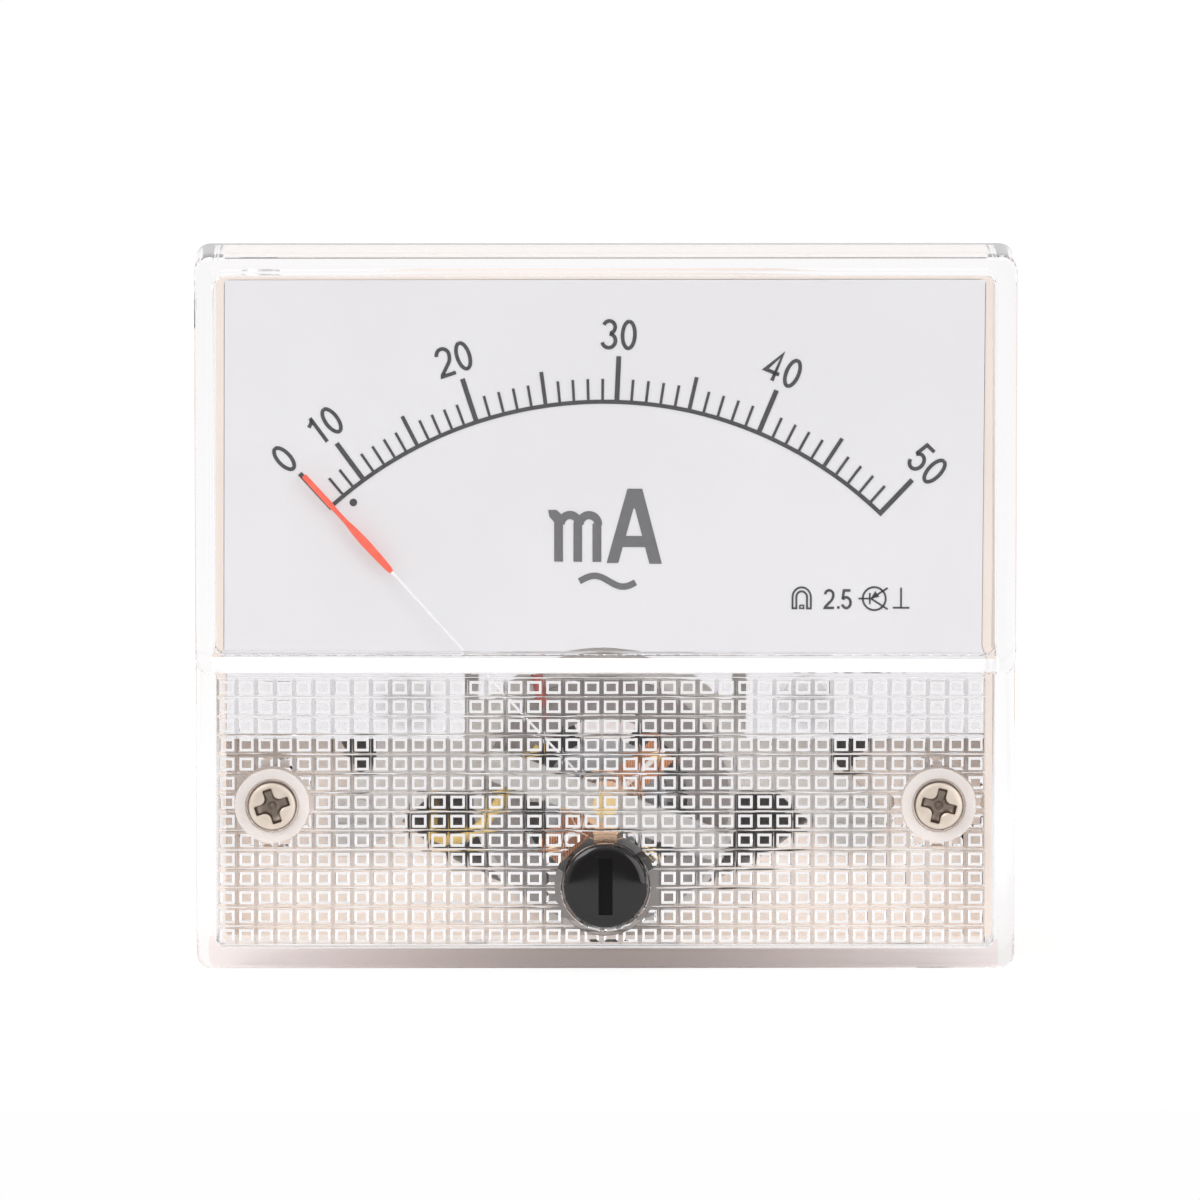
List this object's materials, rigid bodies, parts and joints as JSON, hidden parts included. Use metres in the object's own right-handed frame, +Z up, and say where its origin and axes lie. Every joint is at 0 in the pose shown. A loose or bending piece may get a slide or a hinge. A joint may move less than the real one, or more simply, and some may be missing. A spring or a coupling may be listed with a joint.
{
  "type": "analog panel meter",
  "caption": "Panel-mount moving-coil meter with a clear stepped cover, printed arc scale, swinging pointer, slotted zero adjuster and a round rear drum with threaded terminals.",
  "frame": {"origin": "centre of the seating plane, where the front meets the panel, on the drum's axis", "axes": "+X to the right of the dial, -Y towards the reader, +Z up; the drum runs along +Y behind the panel"},
  "size_m": [0.0646, 0.055, 0.0566],
  "materials": {
    "clear_plastic": "clear moulded plastic, polished, textured inside below the window",
    "nickel_screw": "nickel plated, warm",
    "black_plastic": "glossy black moulding",
    "cream_plastic": "cream moulding",
    "dial_paint": "satin silver-grey",
    "dial_ink": "printed dark grey",
    "zinc_steel": "zinc plated",
    "brass": "bare brass",
    "iron": "blued soft iron",
    "magnet": "sintered magnet, dull grey",
    "nickel": "nickel plated",
    "bronze_spring": "phosphor bronze",
    "needle_paint": "red leaf and tip, white stem",
    "aluminium": "bare",
    "copper_wire": "enamelled copper winding",
    "board": "phenolic board",
    "diode_glass": "orange glass bodies",
    "resistor_body": "blue lacquer",
    "yellow_pvc": "yellow insulation",
    "red_pvc": "red insulation",
    "tinned": "tinned"
  },
  "bodies": {
    "meter": {"front_cover": "clear_plastic", "cover_screw_left": "nickel_screw", "cover_screw_right": "nickel_screw", "case": "cream_plastic", "dial_plate": "dial_paint", "scale_marks": "dial_ink", "dial_screws": "zinc_steel", "dial_posts": "brass", "movement_carrier": "zinc_steel", "carrier_screws": "zinc_steel", "yoke_ring": "iron", "core_magnet": "magnet", "core_spacers": "brass", "front_bridge": "nickel", "front_pillars": "brass", "bridge_screws": "zinc_steel", "front_jewel_screw": "brass", "rear_bridge": "nickel", "rear_pillars": "brass", "rear_bridge_screws": "zinc_steel", "rear_jewel_screw": "brass", "rectifier_board": "board", "diodes": "diode_glass", "series_resistor": "resistor_body", "board_nuts": "zinc_steel", "terminal_studs": "brass", "terminal_washers": "brass", "terminal_nuts": "brass", "solder_lugs": "tinned", "outer_washers": "brass", "outer_nuts": "brass", "mounting_studs": "zinc_steel", "lead_yellow": "yellow_pvc", "lead_red": "red_pvc"},
    "adjuster": {"zero_adjuster": "black_plastic"},
    "zero_lever": {"zero_lever": "bronze_spring", "front_hairspring": "bronze_spring"},
    "pointer": {"needle": "needle_paint", "balance_weights": "brass", "spindle": "nickel", "coil_former": "aluminium", "coil_winding": "copper_wire", "rear_hairspring": "bronze_spring"}
  },
  "joints": [
    {"name": "zero_adjuster_turn", "type": "hinge", "parent": "meter", "child": "adjuster", "pos_m": [0, -0.009, -0.0216], "axis": [0, 1, 0], "range_deg": [-30, 30]},
    {"name": "zero_lever_turn", "type": "hinge", "parent": "meter", "child": "zero_lever", "pos_m": [0, -0.0068, -0.0154], "axis": [0, 1, 0], "range_deg": [-3.9, 3.9]},
    {"name": "needle_swing", "type": "hinge", "parent": "zero_lever", "child": "pointer", "pos_m": [0, 0, -0.0154], "axis": [0, 1, 0], "range_deg": [-1.5, 87], "stiffness_Nm_per_rad": 0.00002, "deforming": ["front_hairspring", "rear_hairspring"]}
  ],
  "couplings": [
    {"joint": "zero_lever_turn", "follows": "zero_adjuster_turn", "ratio": -0.12727}
  ]
}
